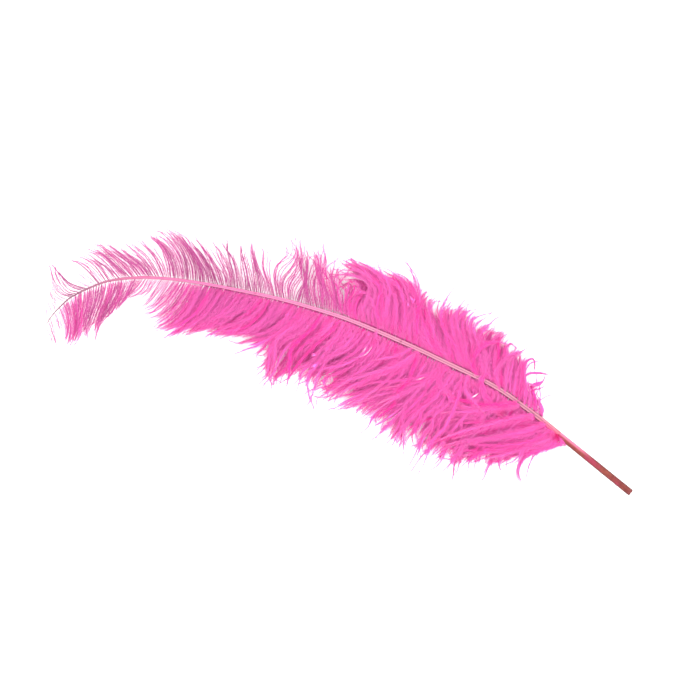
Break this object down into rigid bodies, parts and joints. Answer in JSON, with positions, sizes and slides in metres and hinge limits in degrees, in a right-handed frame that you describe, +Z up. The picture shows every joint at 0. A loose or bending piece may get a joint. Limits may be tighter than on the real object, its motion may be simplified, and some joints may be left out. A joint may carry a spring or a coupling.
{
  "type": "dyed ostrich plume",
  "caption": "Long soft plume: a bare quill, a grooved shaft that curves and flexes, and curling fluffy barbs along both sides.",
  "frame": {"origin": "centre of the cut end of the quill", "axes": "+Z up, out of the grooved (ventral) face of the shaft; the plume lies along -X, curving towards +Y, on the surface at its underside"},
  "size_m": [0.4047, 0.1808, 0.0475],
  "materials": {
    "quill": "satin translucent keratin",
    "pulp_caps": "thin dry translucent skin",
    "cortex": "satin dyed keratin",
    "pith": "spongy matt pith",
    "barbs": "soft dyed down with a silky sheen"
  },
  "bodies": {
    "quill_and_lower_shaft": {"quill_tube": "quill", "quill_pulp_caps": "pulp_caps", "shaft_cortex_lower": "cortex", "shaft_pith_lower": "pith", "outer_barb_lock_01": "barbs", "outer_barb_lock_02": "barbs", "outer_barb_lock_03": "barbs", "inner_barb_lock_01": "barbs", "inner_barb_lock_02": "barbs", "inner_barb_lock_03": "barbs"},
    "middle_shaft": {"shaft_cortex_middle": "cortex", "shaft_pith_middle": "pith", "outer_barb_lock_04": "barbs", "outer_barb_lock_05": "barbs", "outer_barb_lock_06": "barbs", "outer_barb_lock_07": "barbs", "inner_barb_lock_04": "barbs", "inner_barb_lock_05": "barbs", "inner_barb_lock_06": "barbs", "inner_barb_lock_07": "barbs"},
    "upper_shaft": {"shaft_cortex_upper": "cortex", "shaft_pith_upper": "pith", "outer_barb_lock_08": "barbs", "outer_barb_lock_09": "barbs", "outer_barb_lock_10": "barbs", "outer_barb_lock_11": "barbs", "inner_barb_lock_08": "barbs", "inner_barb_lock_09": "barbs", "inner_barb_lock_10": "barbs", "inner_barb_lock_11": "barbs"},
    "shaft_tip": {"shaft_cortex_tip": "cortex", "shaft_pith_tip": "pith", "outer_barb_lock_12": "barbs", "outer_barb_lock_13": "barbs", "outer_barb_lock_14": "barbs", "outer_barb_lock_15": "barbs", "outer_barb_lock_16": "barbs", "inner_barb_lock_12": "barbs", "inner_barb_lock_13": "barbs", "inner_barb_lock_14": "barbs", "inner_barb_lock_15": "barbs", "inner_barb_lock_16": "barbs", "inner_barb_lock_17": "barbs"}
  },
  "joints": [
    {"name": "lower_shaft_flex", "type": "hinge", "parent": "quill_and_lower_shaft", "child": "middle_shaft", "pos_m": [-0.10302, 0.07799, 0.00541], "axis": [0.4437, 0.8962, 0], "range_deg": [-1, 12], "stiffness_Nm_per_rad": 0.2},
    {"name": "upper_shaft_flex", "type": "hinge", "parent": "middle_shaft", "child": "upper_shaft", "pos_m": [-0.21182, 0.12444, 0.00954], "axis": [0.2884, 0.9575, 0], "range_deg": [-3, 18], "stiffness_Nm_per_rad": 0.06},
    {"name": "tip_flex", "type": "hinge", "parent": "upper_shaft", "child": "shaft_tip", "pos_m": [-0.30021, 0.14403, 0.01727], "axis": [0.1514, 0.9885, 0], "range_deg": [-12, 30], "stiffness_Nm_per_rad": 0.012}
  ]
}
